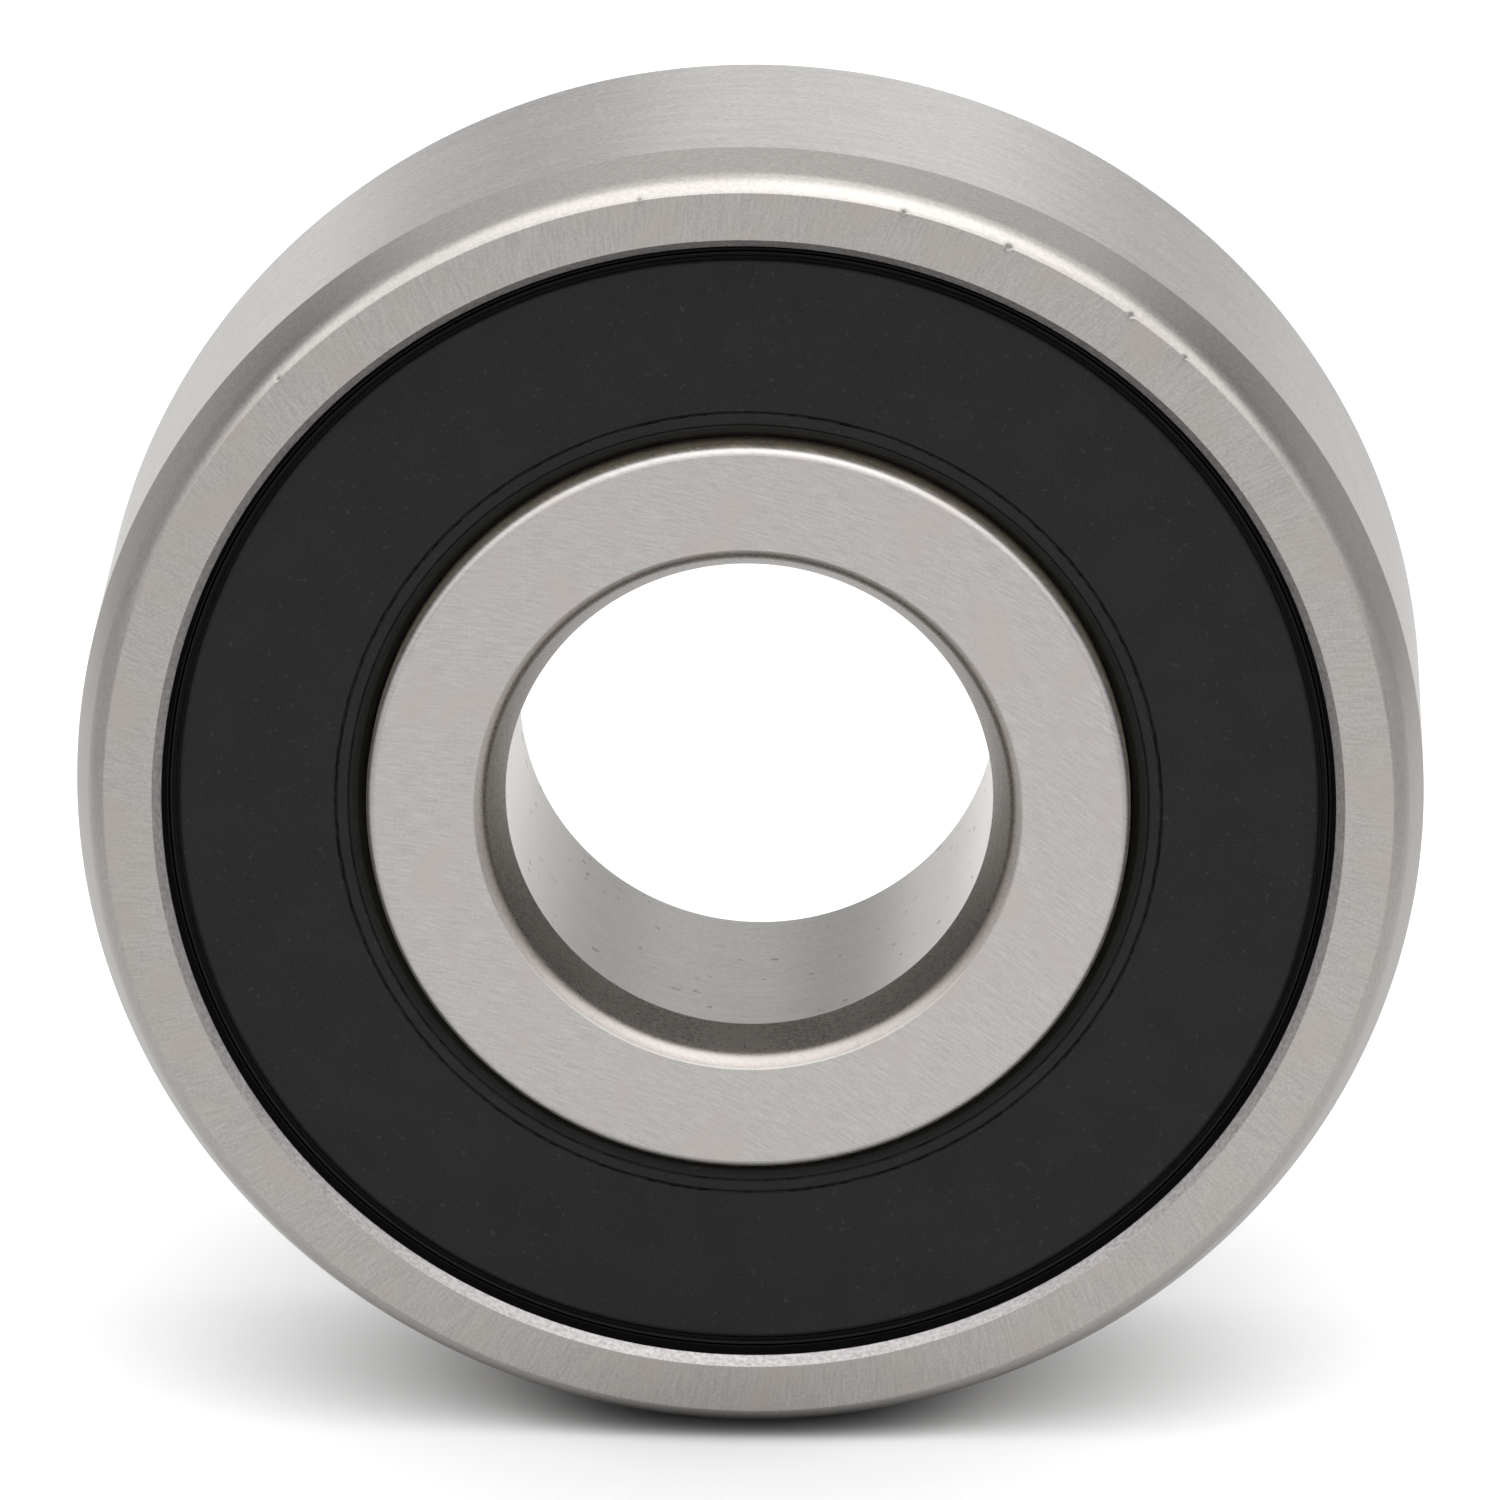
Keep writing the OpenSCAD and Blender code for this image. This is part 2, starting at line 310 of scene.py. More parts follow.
def sealPiece(side):
    # section of the rear seal from its bead over the rim, the face, the hinge line and the lip to the
    # pocket of its washer; the front seal is its mirror image in y
    node = side + "_seal_rubber"
    low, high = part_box("rear_seal_rubber")
    seatY, faceY, seatR = low.y / mm, high.y / mm, high.x / mm
    lipR = ring["innerShoulderR"] + seal["lipGap"]
    washerOut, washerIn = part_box("rear_seal_washer")[1].x / mm, lipR + seal["washerHold"]
    neckR = seatR - ring["keeperRise"] - seal["neckGap"]
    rimR = neckR - seal["rimWidth"]
    panelR = rimR - seal["rimGrooveWidth"]
    stepR = lipR + seal["tipLen"]
    hingeR = stepR + seal["flatLen"]
    beadY = seatY + seal["beadHeight"]
    neckY = beadY + (ring["halfWidth"] - ring["mouth"] - seatY - ring["seatWidth"]) / 2
    frontY = faceY - seal["fall"]
    innerY = frontY - seal["reach"]
    rimY = faceY - seal["rimDrop"]
    topY = seatY + seal["washerT"]
    soft, fine = seal["soft"], seal["softFine"]
    outline = np.array([
        [washerOut, seatY, 0],
        [seatR - seal["beadChamfer"], seatY, fine],
        [seatR, seatY + seal["beadChamfer"], fine],
        [seatR, beadY, fine],
        [neckR, neckY, fine],
        [neckR, rimY, seal["rimSoft"]],
        [rimR, rimY, seal["rimSoft"]],
        [rimR, faceY - seal["rimGrooveDepth"], soft],
        [panelR, faceY - seal["rimGrooveDepth"], soft],
        [panelR, faceY, seal["panelSoft"]],
        [hingeR + seal["hingeWidth"], faceY, fine],
        [hingeR + seal["hingeWidth"] / 2, faceY - seal["hingeDepth"], fine / 2],
        [hingeR, faceY, fine],
        [stepR + seal["stepWidth"], faceY, fine],
        [stepR + seal["stepWidth"] / 2, faceY - seal["stepDepth"], fine / 2],
        [stepR, faceY - seal["step"], fine],
        [lipR + seal["lipOpen"], frontY, soft],
        [lipR, innerY, soft],
        [lipR, innerY - seal["edge"], soft],
        [washerIn, seatY + seal["dish"], 0],
        [washerIn, topY + seal["dish"], 0],
        [washerIn + seal["dishWidth"], topY, 0],
        [washerOut, topY, 0],
    ])
    if side == "front":
        outline = outline[::-1] * [1, -1, 1]
    piece = gridMesh(side + "SealRubber", turnedGrid(softSection(outline), evenAngles(seal["steps"])))
    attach(piece, "outer_race")
    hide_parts(node)
    return piece


class Wire:
    # one socket of a node tree; sums, products and powers of it add Math nodes
    def __init__(self, finish, socket):
        self.finish, self.socket = finish, socket

    def maths(self, operation, *values):
        # one Math node on the given values or wires
        return self.finish.node("ShaderNodeMath", {"operation": operation}, dict(enumerate(values)))

    def __add__(self, other):
        return self.maths("ADD", self, other)

    def __sub__(self, other):
        return self.maths("SUBTRACT", self, other)

    def __rsub__(self, other):
        return self.maths("SUBTRACT", other, self)

    def __mul__(self, other):
        return self.maths("MULTIPLY", self, other)

    def __truediv__(self, other):
        return self.maths("DIVIDE", self, other)

    def __rtruediv__(self, other):
        return self.maths("DIVIDE", other, self)

    def __pow__(self, other):
        return self.maths("POWER", self, other)

    def __abs__(self):
        return self.maths("ABSOLUTE", self)

    __radd__, __rmul__ = __add__, __mul__


class Finish:
    # one node tree and the nodes made in it
    def __init__(self, tree):
        self.tree = tree
        tree.nodes.clear()

    def node(self, kind, settings=None, sockets=None, out=0):
        # any node from its type, its settings and the values or wires of its sockets; gives the wire
        # of one output
        made = self.tree.nodes.new(kind)
        for key, value in (settings or {}).items():
            if key == "stops":
                ramp = made.color_ramp.elements
                for place, level in value[1:-1]:
                    ramp.new(place)
                for element, (place, level) in zip(ramp, value):
                    element.position, element.color = place, (level, level, level, 1)
            else:
                setattr(made, key, value)
        for key, value in (sockets or {}).items():
            if isinstance(value, Wire):
                self.tree.links.new(value.socket, made.inputs[key])
            else:
                made.inputs[key].default_value = value
        return Wire(self, made.outputs[out]) if made.outputs else None

    def places(self):
        # object coordinates in millimetres
        spot = self.node("ShaderNodeTexCoord", out="Object")
        split = self.node("ShaderNodeSeparateXYZ", sockets={0: spot})
        sockets = split.socket.node.outputs
        return [Wire(self, sockets[axis]) * (1 / mm) for axis in "XYZ"]

    def vector(self, x, y, z):
        # three wires joined to one vector
        return self.node("ShaderNodeCombineXYZ", sockets={0: x, 1: y, 2: z})

    def noise(self, vector, scale=1.0, detail=2.0, rough=0.5):
        # smooth noise about 0.5, scale cells for each unit of the vector
        sockets = {"Vector": vector, "Scale": scale, "Detail": detail, "Roughness": rough}
        return self.node("ShaderNodeTexNoise", sockets=sockets)

    def ease(self, value, low, high):
        # 0 below low, 1 above high and smooth between
        sockets = {"Value": value, "From Min": low, "From Max": high}
        return self.node("ShaderNodeMapRange", {"interpolation_type": "SMOOTHSTEP"}, sockets)

    def tint(self, factor, first, second):
        # first colour at factor 0, second at 1
        sockets = {0: factor, 6: first, 7: second}
        return self.node("ShaderNodeMix", {"data_type": "RGBA"}, sockets, out=2)

    def pick(self, factor, first, second):
        # first value at factor 0, second at 1
        sockets = {0: factor, 2: first, 3: second}
        return self.node("ShaderNodeMix", {"data_type": "FLOAT"}, sockets)

    def grey(self, level):
        # colour with the same level in red, green and blue
        return self.node("ShaderNodeCombineColor", sockets={0: level, 1: level, 2: level})

    def spread(self, factor, tone, amount):
        # tone darker by amount at factor 0 and lighter by it at 1
        return self.tint(factor, shade(tone, 1 - amount), shade(tone, 1 + amount))

    def bump(self, height, depth, strength=1.0):
        # normal tilted by a height of 0 to 1 that stands for depth millimetres
        sockets = {"Strength": strength, "Distance": depth * mm, "Height": height}
        return self.node("ShaderNodeBump", sockets=sockets)

    def surface(self, shader):
        # shader joined to the material's output
        self.node("ShaderNodeOutputMaterial", sockets={"Surface": shader})


def shade(tone, level):
    # tone times level, no brighter than 1
    return tuple(min(1.0, part * level) for part in tone) + (1,)


def newFinish(name):
    # empty material and the builder of its nodes
    material = bpy.data.materials.new(name)
    material.use_nodes = True
    return material, Finish(material.node_tree)


# ground bearing steel: tone and roughness of the round surfaces, the faces, the turned corners and the
# rough surfaces beside the seals. faceFrom is the radius from which a corner is finished like the face,
# where the ring reaches so far. markLean is the turn of the marks in radians for each millimetre
# outwards, or their slope where they lie side by side. grain is the strength of the marks, pebble the
# share of pebbled grain among them, and the sheen entry how far a painted sheen makes the round
# surface paler at a flat angle
outerSteel = {
    "tone": (0.585, 0.565, 0.545),
    "faceTone": (0.49, 0.475, 0.451),
    "cornerTone": (0.46, 0.437, 0.415),
    "besideTone": (0.40, 0.38, 0.38),
    "besideSeal": (20.765, 20.735),
    "besideRough": 0.42,
    "rough": 0.26,
    "faceRough": 0.36,
    "cornerRough": 0.2,
    "cornerLen": ring["cornerLen"],
    "faceFrom": (30.0, 31.0),
    "marks": "radial",
    "markLean": 0.008,
    "grain": 0.75,
    "pebble": 0.5,
    "paintedSheen": 0.0,
    "spots": 0.12,
}
innerSteel = {
    "tone": (0.37, 0.358, 0.341),
    "faceTone": (0.563, 0.55, 0.531),
    "cornerTone": (0.42, 0.388, 0.365),
    "besideTone": (0.56, 0.50, 0.40),
    "besideSeal": (13.23, 13.285),
    "besideRough": 0.52,
    "rough": 0.32,
    "faceRough": 0.38,
    "cornerRough": 0.28,
    "cornerLen": ring["boreCornerLen"],
    "faceFrom": (12.6, 12.9),
    "marks": "straight",
    "markLean": -0.38,
    "grain": 0.65,
    "pebble": 0.35,
    # painted sheen of the bore at a flat angle
    "paintedSheen": 1.0,
    "spots": 0.6,
}
# grain of both rings: cells for each millimetre, limits of its masks and how far it shades the steel
steelGrain = {
    "line": (5.0, 12.0),     # lines of the round surfaces, along and across them
    "streak": (0.4, 2.6),    # wide streaks among them
    "streakShare": 0.25,
    "mark": (1.2, 12.0),     # marks of the faces, along and across
    "markBend": 0.012,       # how much marks that lie side by side are bent
    "patch": 0.42,
    "spot": 1.9,
    "pebble": 9.0,
    "pebbleShare": 0.4,      # among the lines of a corner
    "depth": 0.0009,         # millimetres
    "faceEdge": (0.05, 0.015),     # depth below the face where its finish starts, and where it is full
    "landEdge": (0.5, 0.4),        # the same where a corner is finished like the face
    "cornerEdge": (-0.04, 0.06),   # the same as height above the edge of a corner
    "lightFrom": (0.32, 0.68),     # grain between its darkest and its lightest shade
    "spotFrom": (0.67, 0.74),
    "spotTone": 0.3,
    # painted sheen: where it starts and is full, and how much paler it makes the tone
    "flatFrom": (0.62, 0.98),      # 0 is seen straight on, 1 edge on
    "flatTone": 2.1,
    "plainSpread": 0.15,
    "faceSpread": 0.2,
    "cornerSpread": 0.09,
    "besideSpread": 0.25,
    "warmFrom": (0.46, 0.66),
    "warmShare": 0.6,
    "warmTone": (1.05, 0.96, 0.96),
    "grainRough": 0.16,
    "patchRough": 0.06,
}


def steelFinish(name, look):
    # round surface, corner, face and the surface beside the seal are told apart by radius and height;
    # each has its own tone and roughness, and one grain shades both and tilts the surface
    material, f = newFinish(name)
    x, y, z = f.places()
    r = (x * x + z * z) ** 0.5
    half = ring["halfWidth"]
    bend = half - look["cornerLen"]
    low, high = steelGrain["faceEdge"]
    face = f.ease(abs(y), half - low, half - high)
    low, high = steelGrain["landEdge"]
    land = f.ease(r, *look["faceFrom"]) * f.ease(abs(y), half - low, half - high)
    face = face.maths("MAXIMUM", face, land)
    low, high = steelGrain["cornerEdge"]
    corner = f.ease(abs(y), bend + low, bend + high)
    beside = f.ease(r, *look["besideSeal"])
    # lines round the ring: noise with longer cells in x and z and shorter ones in y
    along, across = steelGrain["line"]
    lines = f.noise(f.vector(x * along, y * across, z * along), detail=3.0, rough=0.6)
    along, across = steelGrain["streak"]
    streaks = f.noise(f.vector(x * along, y * across, z * along))
    # marks over a face run outwards, turned a little with the radius, or lie side by side at one slope
    along, across = steelGrain["mark"]
    if look["marks"] == "radial":
        lean = r * look["markLean"]
        cos, sin = lean.maths("COSINE", lean), lean.maths("SINE", lean)
        reach = ring["outerR"] * across / r
        spot = f.vector((x * cos - z * sin) * reach, r * along, (x * sin + z * cos) * reach)
    else:
        cos, sin = math.cos(look["markLean"]), math.sin(look["markLean"])
        run = x * cos + z * sin
        aside = z * cos - x * sin + run * run * steelGrain["markBend"]
        spot = f.vector(run * along, y, aside * across)
    marks = f.noise(spot, detail=3.0, rough=0.65)
    place = f.vector(x, y, z)
    pebble = f.noise(place, steelGrain["pebble"], detail=3.0, rough=0.6)
    patch = f.noise(place, steelGrain["patch"], detail=3.0, rough=0.55)
    spots = f.ease(f.noise(place, steelGrain["spot"]), *steelGrain["spotFrom"])
    share = steelGrain["streakShare"]
    streaked = lines * (1 - share) + streaks * share
    share = steelGrain["pebbleShare"]
    pebbled = lines * (1 - share) + pebble * share
    faceGrain = f.pick(look["pebble"], marks, pebble)
    grain = f.pick(face, f.pick(corner, streaked, pebbled), faceGrain)
    light = f.ease(grain, *steelGrain["lightFrom"])
    # painted sheen: the smooth bore is painted paler where it is seen at a flat angle
    facing = f.node("ShaderNodeLayerWeight", sockets={"Blend": 0.5}, out="Facing")
    paintedSheenMask = f.ease(facing, *steelGrain["flatFrom"]) * look["paintedSheen"]
    plain = f.spread(light, look["tone"], steelGrain["plainSpread"])
    plain = f.tint(paintedSheenMask, plain, shade(look["tone"], steelGrain["flatTone"]))
    plain = f.tint(spots * look["spots"], plain, shade(look["tone"], steelGrain["spotTone"]))
    ground = f.spread(light, look["faceTone"], steelGrain["faceSpread"] * look["grain"])
    warm = np.multiply(look["faceTone"], steelGrain["warmTone"])
    patches = f.ease(patch, *steelGrain["warmFrom"]) * steelGrain["warmShare"]
    ground = f.tint(patches, ground, (*warm, 1))
    turned = f.spread(light, look["cornerTone"], steelGrain["cornerSpread"])
    rest = f.spread(light, look["besideTone"], steelGrain["besideSpread"])
    tone = f.tint(face, f.tint(corner, plain, turned), ground)
    tone = f.tint(beside, tone, rest)
    rough = f.pick(face, f.pick(corner, look["rough"], look["cornerRough"]), look["faceRough"])
    rough = f.pick(beside, rough, look["besideRough"])
    rough = rough + (grain - 0.5) * steelGrain["grainRough"]
    rough = rough + (patch - 0.5) * steelGrain["patchRough"]
    normal = f.bump(grain, steelGrain["depth"] * look["grain"])
    sockets = {"Base Color": tone, "Metallic": 1.0, "Roughness": rough, "Normal": normal}
    f.surface(f.node("ShaderNodeBsdfPrincipled", sockets=sockets))
    return material


# matte moulded rubber; pebble, cloud and speck are cells for each millimetre
mouldedRubber = {
    "tone": (0.0075, 0.0075, 0.0072, 1),
    "worn": (0.0165, 0.0165, 0.016, 1),
    "dust": (0.032, 0.032, 0.031, 1),
    "deep": (0.0045, 0.0042, 0.0042, 1),   # painted shade of the recessed rim, a deeper black
    "rim": (19.78, 19.9),
    "pebble": 9.0,
    "cloud": 0.5,
    "cloudShare": 0.3,
    "speck": 5.5,
    "speckFrom": (0.70, 0.78),   # where a speck starts in the noise, and where it is full
    "speckShare": 0.6,
    "mottleFrom": (0.3, 0.75),
    "depth": 0.006,          # millimetres
    "depthShare": 0.6,
    "gloss": 0.26,
    "rough": 0.62,
    "pebbleRough": 0.2,
    "cloudRough": 0.1,
    "rimRough": 0.2,
}


def rubberFinish(name, look):
    # pebbled and clouded black with pale specks of dust; the recessed rim is rougher and painted deeper
    # black as shade
    material, f = newFinish(name)
    x, y, z = f.places()
    spot = f.vector(x, y, z)
    pebble = f.noise(spot, look["pebble"], detail=3.0, rough=0.6)
    cloud = f.noise(spot, look["cloud"])
    specks = f.ease(f.noise(spot, look["speck"], detail=1.0, rough=0.4), *look["speckFrom"])
    rim = f.ease((x * x + z * z) ** 0.5, *look["rim"])
    share = look["cloudShare"]
    mottle = f.ease(pebble * (1 - share) + cloud * share, *look["mottleFrom"])
    tone = f.tint(mottle, look["tone"], look["worn"])
    tone = f.tint(specks * look["speckShare"], tone, look["dust"])
    # painted shade: the recessed rim is darkened to a deeper black
    tone = f.tint(rim, tone, look["deep"])
    rough = look["rough"] + (pebble - 0.5) * look["pebbleRough"]
    rough = rough + (cloud - 0.5) * look["cloudRough"] + rim * look["rimRough"]
    normal = f.bump(pebble, look["depth"], look["depthShare"])
    sockets = {"Base Color": tone, "Roughness": rough, "Normal": normal}
    sockets["Specular IOR Level"] = look["gloss"]
    f.surface(f.node("ShaderNodeBsdfPrincipled", sockets=sockets))
    return material


# steel of the pieces inside: tone, roughness, and the size and depth of its grain in millimetres
insideSteel = {
    "ball": {
        "tone": (0.66, 0.66, 0.665, 1),
        "worn": (0.58, 0.58, 0.585, 1),
        "rough": 0.07,
        "vary": 0.04,
        "grain": 0.5,
        "depth": 0.0002,
    },
    "cage": {
        "tone": (0.50, 0.49, 0.47, 1),
        "worn": (0.40, 0.385, 0.36, 1),
        "rough": 0.36,
        "vary": 0.2,
        "grain": 0.12,
        "depth": 0.002,
    },
    "rivet": {
        "tone": (0.55, 0.54, 0.52, 1),
        "worn": (0.42, 0.41, 0.39, 1),
        "rough": 0.3,
        "vary": 0.2,
        "grain": 0.1,
        "depth": 0.0015,
    },
    "washer": {
        "tone": (0.48, 0.48, 0.47, 1),
        "worn": (0.38, 0.37, 0.36, 1),
        "rough": 0.4,
        "vary": 0.2,
        "grain": 0.15,
        "depth": 0.002,
    },
}
insideCloud = {
    "size": 0.35,            # cells for each millimetre
    "share": 0.4,
    "wornFrom": (0.45, 0.7),
}


def insideFinish(name, look):
    # fine grain and wide clouds turn the tone to the worn one; the grain also varies the roughness
    material, f = newFinish(name)
    x, y, z = f.places()
    spot = f.vector(x, y, z)
    grain = f.noise(spot, 1 / look["grain"], detail=4.0, rough=0.6)
    cloud = f.noise(spot, insideCloud["size"])
    share = insideCloud["share"]
    worn = f.ease(grain * (1 - share) + cloud * share, *insideCloud["wornFrom"])
    tone = f.tint(worn, look["tone"], look["worn"])
    rough = look["rough"] + (grain - 0.5) * look["vary"]
    normal = f.bump(grain, look["depth"])
    sockets = {"Base Color": tone, "Metallic": 1.0, "Roughness": rough, "Normal": normal}
    f.surface(f.node("ShaderNodeBsdfPrincipled", sockets=sockets))
    return material


def dress(piece, material):
    # one material for the whole piece
    piece.data.materials.clear()
    piece.data.materials.append(material)


steel = {
    "outer": steelFinish("outerRingSteel", outerSteel),
    "inner": steelFinish("innerRingSteel", innerSteel),
}
rubber = rubberFinish("mouldedRubber", mouldedRubber)
dress(outerRingPiece(), steel["outer"])
dress(innerRingPiece(), steel["inner"])
for side in ("front", "rear"):
    dress(sealPiece(side), rubber)
    dress(frame["nodes"][side + "_seal_rubber"], rubber)
for side in ("outer", "inner"):
    dress(frame["nodes"][side + "_ring"], steel[side])
print("rings and seals made")

inside = {kind: insideFinish(kind + "Steel", look) for kind, look in insideSteel.items()}
for name, node in frame["nodes"].items():
    for kind, material in inside.items():
        if kind in name:
            dress(node, material)
print("balls, cage, rivets and washers finished")


# white table, in millimetres: its level as the camera sees it and as the steel reflects it in front and
# behind, both with painted light and shade. a pair ending in From is where a change starts, and where
# it is full
table = {
    "half": 3000.0,
    "seen": 0.94,
    "front": 0.735,
    "behind": 0.675,
    "behindFrom": (15.0, 110.0),
    "leftGain": 1.04,        # painted light: behind the bearing the reflected table is a little brighter on the left
    "rightGain": 0.95,
    "gainFrom": (-60.0, 60.0),
    # painted pools of light on the reflected table
    "paler": [(24.0, -48.0, 0.12), (-24.0, 80.0, 0.24), (24.0, 80.0, 0.08)],   # spots: x, y, gain
    "palerFrom": (48.0, 14.0),
    "sides": 0.3,            # painted shade: how much darker the reflected table is far out on both sides
    "sidesFrom": (20.0, 110.0),
    "sidesLean": 0.8,        # how far that starts further out for each millimetre behind
    "shift": 1.5,            # the painted contact shadow and glow lie a little to the left
    "paintedContactShade": 0.55,           # painted contact shadow: share of the level left near the contact, as reflected and as seen
    "underTo": 20.0,
    "seenTo": 11.0,
    "paintedWedgeShade": 0.42,           # painted shadow: share left in the narrow wedge under the corners of the ring
    "wedgeFrom": (0.8, 2.8),
    "wedgeAside": 0.3,       # share of a distance to the side that counts for the wedge
    "paintedLift": 0.2,             # painted light: extra white glow away from the bearing, that fades the shadow out
    "liftFrom": (6.0, 28.0),
    "cloud": 0.02,           # cells for each millimetre
    "cloudReflected": 0.02,
    "cloudSeen": 0.01,
}


def tableTop():
    # one square under the bearing. the camera sees white with a painted shadow that darkens it to the
    # contact and a painted glow away from it; the steel reflects a dimmer white, with the same painted
    # contact shadow and with painted paler and darker parts
    floorZ = cadBox[0][2]
    h = table["half"] * mm
    mesh = bpy.data.meshes.new("tableTop")
    places = [(-h, -h, floorZ), (h, -h, floorZ), (h, h, floorZ), (-h, h, floorZ)]
    mesh.from_pydata(places, [], [(0, 1, 2, 3)])
    top = bpy.data.objects.new("tableTop", mesh)
    bpy.context.scene.collection.objects.link(top)
    material, f = newFinish("whiteTable")
    x, y, z = f.places()
    shifted = x + table["shift"]
    away = (shifted * shifted + y * y) ** 0.5
    cloud = f.noise(f.vector(x, y, z), table["cloud"]) - 0.5
    # distance in front of or behind the flat part of the outside, and a share of that to its sides
    outside = abs(y) - mounts["housing_seat"]["length_mm"] / 2
    outside = outside.maths("MAXIMUM", outside, 0.0)
    close = (x * x * table["wedgeAside"] ** 2 + outside * outside) ** 0.5
    # painted shadow in the wedge under the corners of the ring
    paintedWedgeShade = f.pick(f.ease(close, *table["wedgeFrom"]), table["paintedWedgeShade"], 1.0)
    # painted contact shadow on the reflected table
    paintedContactShade = f.pick(f.ease(away, 0.0, table["underTo"]), table["paintedContactShade"], 1.0) * paintedWedgeShade
    # painted light and shade on the reflected table, in front, behind and brighter on the left
    left, right = (table["behind"] * table[side] for side in ("leftGain", "rightGain"))
    behind = f.pick(f.ease(x, *table["gainFrom"]), left, right)
    level = f.pick(f.ease(y, *table["behindFrom"]), table["front"], behind) * paintedContactShade
    level = level + cloud * table["cloudReflected"]
    # painted shade far out on both sides
    beyond = abs(x) - y.maths("MAXIMUM", y, 0.0) * table["sidesLean"]
    level = level * (1.0 - f.ease(beyond, *table["sidesFrom"]) * table["sides"])
    # painted pools of light
    for spotX, spotY, gain in table["paler"]:
        offX, offY = x - spotX, y - spotY
        off = (offX * offX + offY * offY) ** 0.5
        level = level * (f.ease(off, *table["palerFrom"]) * gain + 1.0)
    dim = f.node("ShaderNodeBsdfDiffuse", sockets={"Color": f.grey(level)})
    # painted contact shadow on the table as the camera sees it
    seenContactShade = f.pick(f.ease(away, 0.0, table["seenTo"]), table["paintedContactShade"], 1.0) * paintedWedgeShade
    seen = table["seen"] * seenContactShade + cloud * table["cloudSeen"]
    white = f.node("ShaderNodeBsdfDiffuse", sockets={"Color": f.grey(seen)})
    # painted glow away from the bearing, seen by the camera only
    paintedLift = f.ease(away, *table["liftFrom"]) * table["paintedLift"]
    paintedGlow = f.node("ShaderNodeEmission", sockets={"Color": f.grey(paintedLift), "Strength": 1.0})
    camera = f.node("ShaderNodeLightPath", out="Is Camera Ray")
    bright = f.node("ShaderNodeAddShader", sockets={0: white, 1: paintedGlow})
    f.surface(f.node("ShaderNodeMixShader", sockets={0: camera, 1: dim, 2: bright}))
    mesh.materials.append(material)


# soft studio light: a pale room under a bright canopy that hangs over the sides and the front. lobes
# are bearing from behind (clockwise from above), elevation, inner and outer half angle in degrees, and
# how much brighter the room is there
studio = {
    "levels": [(0.0, 0.95), (0.6, 0.95), (0.72, 0.8), (1.0, 0.8)],   # from nadir to zenith
    "canopy": 0.82,          # how much brighter the canopy is
    "canopyEdge": (0.07, -0.21),   # where it starts from behind, and where it is full
    "canopyFoot": (0.16, 0.5),     # the same from the foot upwards
    "canopyLean": 0.7,       # how far its edge swings to the front towards the foot
    "lobes": {
        "overhead": (180, 74, 15, 42, 0.5),
        "cameraSide": (180, 2, 25, 60, -0.5),
        "sideLeft": (-72, 9, 18, 42, -0.43),
        "sideRight": (72, 9, 18, 42, -0.43),
        "behindHigh": (0, 60, 8, 28, 0.1),
        "behindLeft": (-15, 12, 3, 12, -0.42),
        "behindRight": (20, 5, 3, 13, -0.36),
        "behindMiddle": (8, 17, 1, 8, 0.08),
    },
    "boxSize": (0.34, 0.30),   # soft box over the bearing, in metres
    "boxPlace": (0.16, -0.07, 0.34),
    "boxLevel": 0.3,         # brightness of the soft box, where 1 is white
}


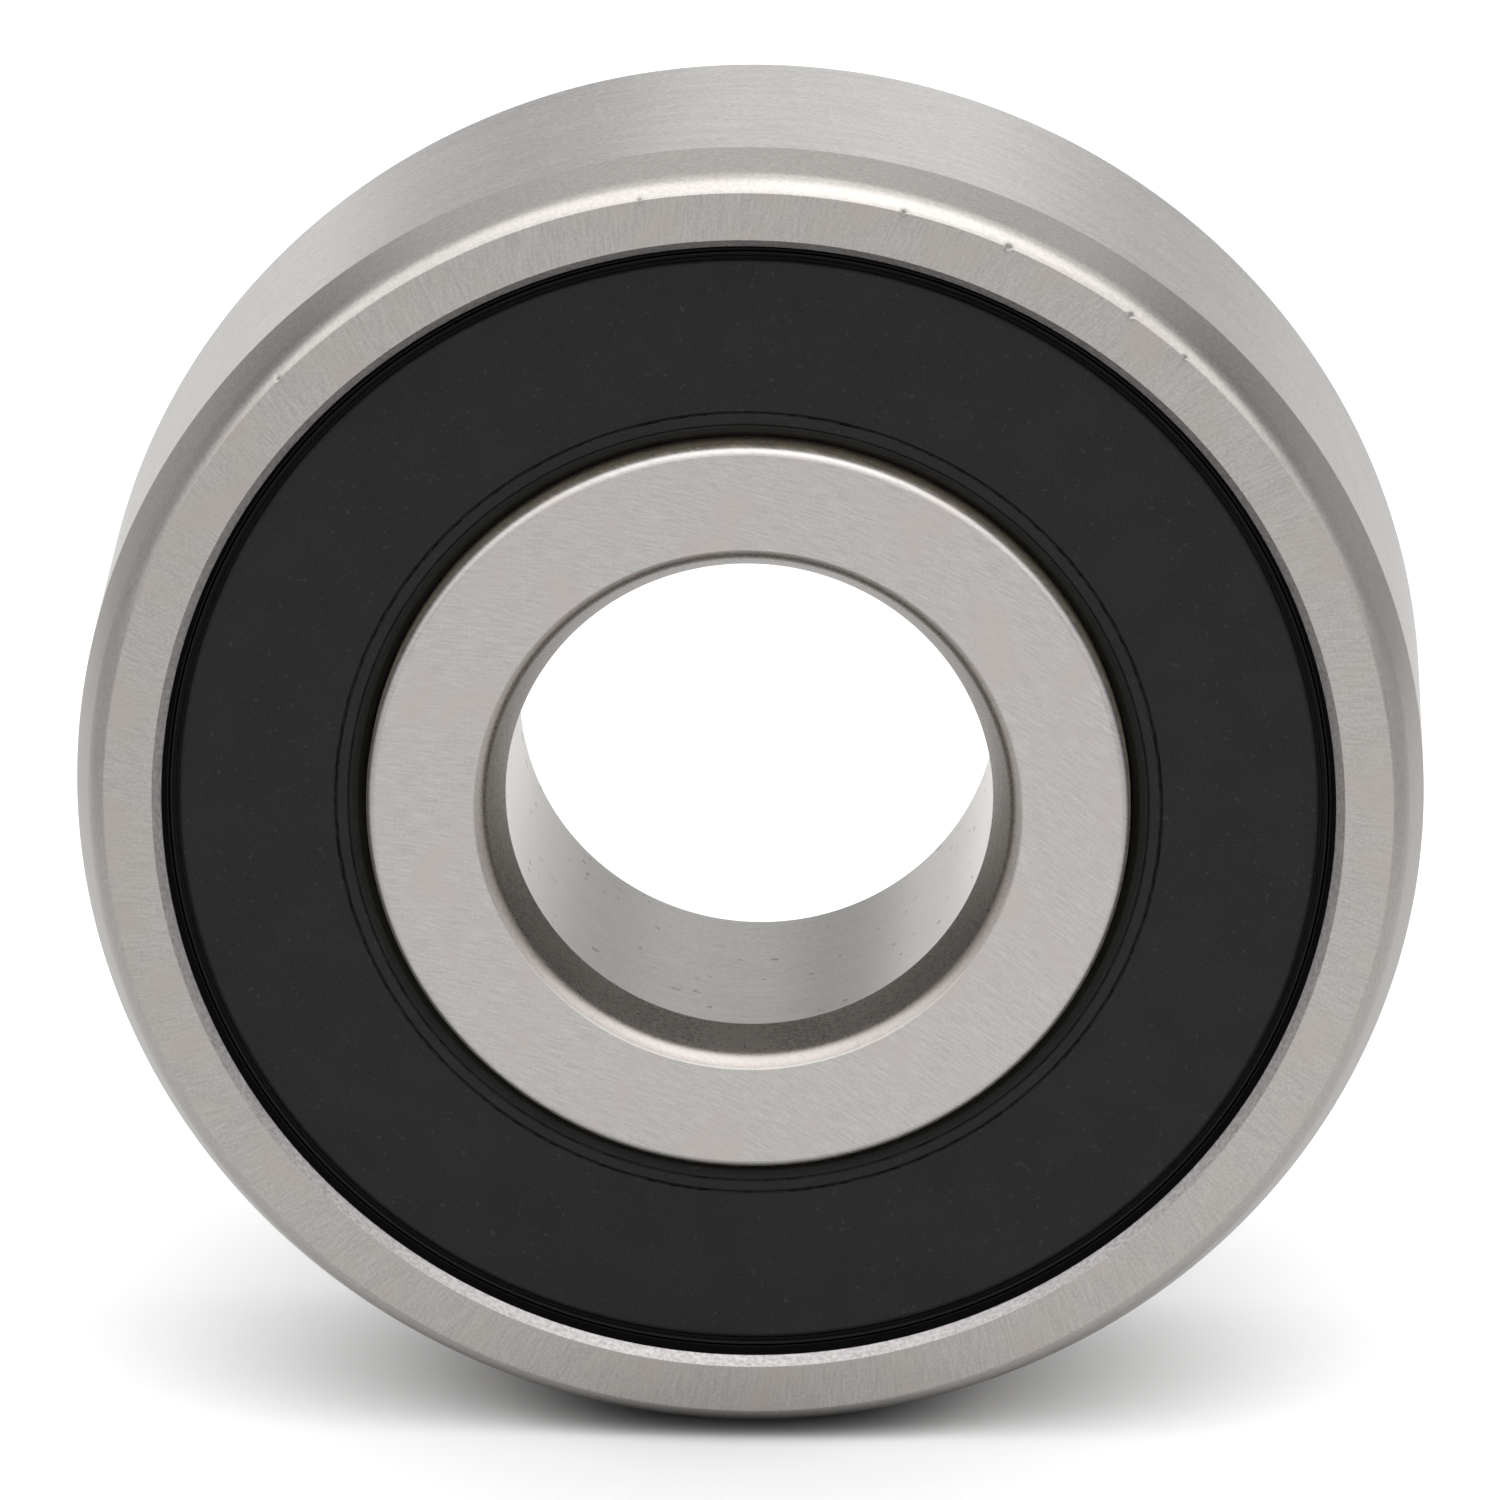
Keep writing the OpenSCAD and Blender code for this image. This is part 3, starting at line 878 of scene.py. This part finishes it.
def studioLight():
    # level by height, plus the canopy, plus each lobe where the angle to its middle is small; the
    # camera itself sees plain white. the soft box shines straight down
    world = bpy.data.worlds.new("studio")
    bpy.context.scene.world = world
    world.use_nodes = True
    f = Finish(world.node_tree)
    way = f.node("ShaderNodeTexCoord", out="Generated")
    split = f.node("ShaderNodeSeparateXYZ", sockets={0: way})
    depth, height = (Wire(f, split.socket.node.outputs[axis]) for axis in "YZ")
    room = f.node("ShaderNodeValToRGB", {"stops": studio["levels"]}, {0: height * 0.5 + 0.5})
    swing = depth + (1.0 - height) ** 2.0 * studio["canopyLean"]
    canopy = f.ease(swing, *studio["canopyEdge"]) * f.ease(height, *studio["canopyFoot"])
    level = f.node("ShaderNodeRGBToBW", sockets={0: room}) + canopy * studio["canopy"]
    for bearing, rise, inner, outer, gain in studio["lobes"].values():
        az, el = math.radians(bearing), math.radians(rise)
        middle = (math.sin(az) * math.cos(el), math.cos(az) * math.cos(el), math.sin(el))
        sockets = {0: way, 1: middle}
        near = f.node("ShaderNodeVectorMath", {"operation": "DOT_PRODUCT"}, sockets, out="Value")
        rim, heart = math.cos(math.radians(outer)), math.cos(math.radians(inner))
        level = level + f.ease(near, rim, heart) * gain
    camera = f.node("ShaderNodeLightPath", out="Is Camera Ray")
    light = f.pick(camera, level, 1.0)
    backdrop = f.node("ShaderNodeBackground", sockets={"Color": f.grey(light), "Strength": 1.0})
    f.node("ShaderNodeOutputWorld", sockets={"Surface": backdrop})
    wide, deep = studio["boxSize"]
    lamp = bpy.data.lights.new("softBox", "AREA")
    lamp.shape = "RECTANGLE"
    lamp.size, lamp.size_y = wide, deep
    lamp.energy = studio["boxLevel"] * math.pi * wide * deep
    box = bpy.data.objects.new("softBox", lamp)
    box.location = studio["boxPlace"]
    bpy.context.scene.collection.objects.link(box)


# camera in front of the bearing, a little to its right and above it
view = {
    "distance": 0.4694,      # metres
    "azimuth": 1.81,
    "elevation": 19.15,
    "pixelsPerMm": 28.378,   # scale at the bearing's centre in the 1500 pixel frame
    "centre": (4.0, -4.3),   # where the bearing's centre lies from the middle of the frame, in pixels
    "frame": 1500,
    "sensor": 36,
    "clip": (0.01, 20),
}


def photoCamera():
    # the camera looks past the bearing's centre at a point that puts the centre where view says;
    # focal length = sensor * pixels per millimetre * distance / frame
    az, el = math.radians(view["azimuth"]), math.radians(view["elevation"])
    back = Vector((math.sin(az) * math.cos(el), -math.cos(az) * math.cos(el), math.sin(el)))
    right = Vector((math.cos(az), math.sin(az), 0))
    up = back.cross(right)
    lens = bpy.data.cameras.new("photoCamera")
    lens.sensor_width = view["sensor"]
    lens.lens = lens.sensor_width * view["pixelsPerMm"] * view["distance"] / mm / view["frame"]
    lens.clip_start, lens.clip_end = view["clip"]
    camera = bpy.data.objects.new("photoCamera", lens)
    place = back * view["distance"]
    aim = (view["centre"][1] * up - view["centre"][0] * right) * (mm / view["pixelsPerMm"])
    away = (place - aim).normalized()
    side = Vector((0, 0, 1)).cross(away).normalized()
    turn = Matrix((side, away.cross(side), away)).transposed()
    camera.matrix_world = Matrix.Translation(place) @ turn.to_4x4()
    bpy.context.scene.collection.objects.link(camera)
    bpy.context.scene.camera = camera


tableTop()
studioLight()
photoCamera()
bpy.context.scene.view_settings.view_transform = "Standard"
print("table, light and camera set")
